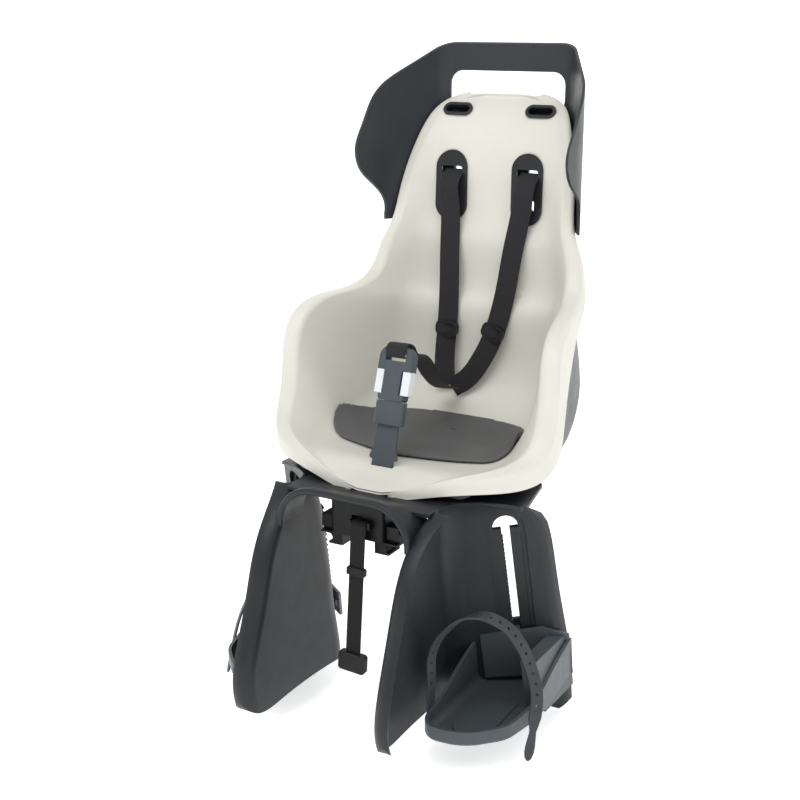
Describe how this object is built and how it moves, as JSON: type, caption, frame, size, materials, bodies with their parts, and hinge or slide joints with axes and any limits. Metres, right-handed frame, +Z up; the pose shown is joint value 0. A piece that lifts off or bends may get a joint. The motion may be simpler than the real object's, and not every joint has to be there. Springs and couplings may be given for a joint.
{
  "type": "rear carrier child bike seat",
  "caption": "Child bike seat that clamps on a rear carrier: bucket shell with head wings and handle, buckled harness, leg guards and sliding footrests",
  "frame": {"origin": "on the top plane of the carrier's rails, in the seat's middle plane, under the clamp's spindle", "axes": "+Z up, the child faces -Y, +X to the left hand of the seated child"},
  "size_m": [0.4364, 0.4998, 0.803],
  "materials": {
    "cream_plastic": "satin moulded polypropylene",
    "slate_plastic": "satin moulded polypropylene",
    "black_plastic": "satin moulded nylon",
    "footrest_plastic": "satin moulded polypropylene",
    "grey_plastic": "satin moulded acetal",
    "strap_rubber": "smooth elastomer",
    "pad_foam": "closed-cell foam with a fine grain",
    "webbing": "woven polyester webbing",
    "steel": "zinc-plated steel"
  },
  "bodies": {
    "seat": {"seat_shell": "cream_plastic", "outer_shell": "slate_plastic", "leg_guard_base": "slate_plastic", "base_bolts": "steel", "shell_screws": "steel", "clamp_housing": "black_plastic", "clamp_screws": "steel", "harness_plate_left": "slate_plastic", "harness_plate_right": "slate_plastic", "slot_grommet_left": "slate_plastic", "slot_grommet_right": "slate_plastic", "seat_pad": "pad_foam", "crotch_strap": "black_plastic", "buckle_socket": "black_plastic", "buckle_tongue": "black_plastic", "shoulder_strap_left": "webbing", "shoulder_strap_right": "webbing", "strap_adjuster_left": "black_plastic", "strap_adjuster_right": "black_plastic", "buckle_web": "webbing", "frame_strap": "webbing", "strap_keeper": "black_plastic", "frame_buckle": "black_plastic"},
    "jaw_right": {"clamp_jaw_right": "black_plastic"},
    "jaw_left": {"clamp_jaw_left": "black_plastic"},
    "spindle": {"clamp_spindle": "steel"},
    "button_right": {"buckle_button_right": "grey_plastic"},
    "button_left": {"buckle_button_left": "grey_plastic"},
    "footrest_right": {"footrest_right": "footrest_plastic", "footrest_guide_right": "black_plastic", "latch_pin_right": "steel", "foot_strap_right": "strap_rubber"},
    "latch_right": {"footrest_latch_right": "grey_plastic"},
    "footrest_left": {"footrest_left": "footrest_plastic", "footrest_guide_left": "black_plastic", "latch_pin_left": "steel", "foot_strap_left": "strap_rubber"},
    "latch_left": {"footrest_latch_left": "grey_plastic"}
  },
  "joints": [
    {"name": "spindle_turn", "type": "hinge", "parent": "seat", "child": "spindle", "pos_m": [0, 0, 0.014], "axis": [1, 0, 0], "range_deg": [0, 1152]},
    {"name": "jaw_right_slide", "type": "slide", "parent": "seat", "child": "jaw_right", "axis": [1, 0, 0], "range_m": [0, 0.016]},
    {"name": "jaw_left_slide", "type": "slide", "parent": "seat", "child": "jaw_left", "axis": [-1, 0, 0], "range_m": [0, 0.016]},
    {"name": "footrest_right_slide", "type": "slide", "parent": "seat", "child": "footrest_right", "axis": [-0.0426, -0.1964, 0.9796], "range_m": [0, 0.095]},
    {"name": "latch_right_turn", "type": "hinge", "parent": "footrest_right", "child": "latch_right", "pos_m": [0.15002, 0.13226, -0.14593], "axis": [0.0426, 0.1964, -0.9796], "range_deg": [0, 12], "stiffness_Nm_per_rad": 0.2},
    {"name": "footrest_left_slide", "type": "slide", "parent": "seat", "child": "footrest_left", "axis": [0.0426, -0.1964, 0.9796], "range_m": [0, 0.095]},
    {"name": "latch_left_turn", "type": "hinge", "parent": "footrest_left", "child": "latch_left", "pos_m": [-0.15002, 0.13226, -0.14593], "axis": [0.0426, -0.1964, 0.9796], "range_deg": [0, 12], "stiffness_Nm_per_rad": 0.2},
    {"name": "button_right_press", "type": "slide", "parent": "seat", "child": "button_right", "axis": [-1, 0, 0], "range_m": [0, 0.002], "stiffness_N_per_m": 500},
    {"name": "button_left_press", "type": "slide", "parent": "seat", "child": "button_left", "axis": [1, 0, 0], "range_m": [0, 0.002], "stiffness_N_per_m": 500}
  ],
  "couplings": [
    {"joint": "jaw_right_slide", "follows": "spindle_turn", "m_per_rad": 0.00079577},
    {"joint": "jaw_left_slide", "follows": "spindle_turn", "m_per_rad": 0.00079577}
  ]
}
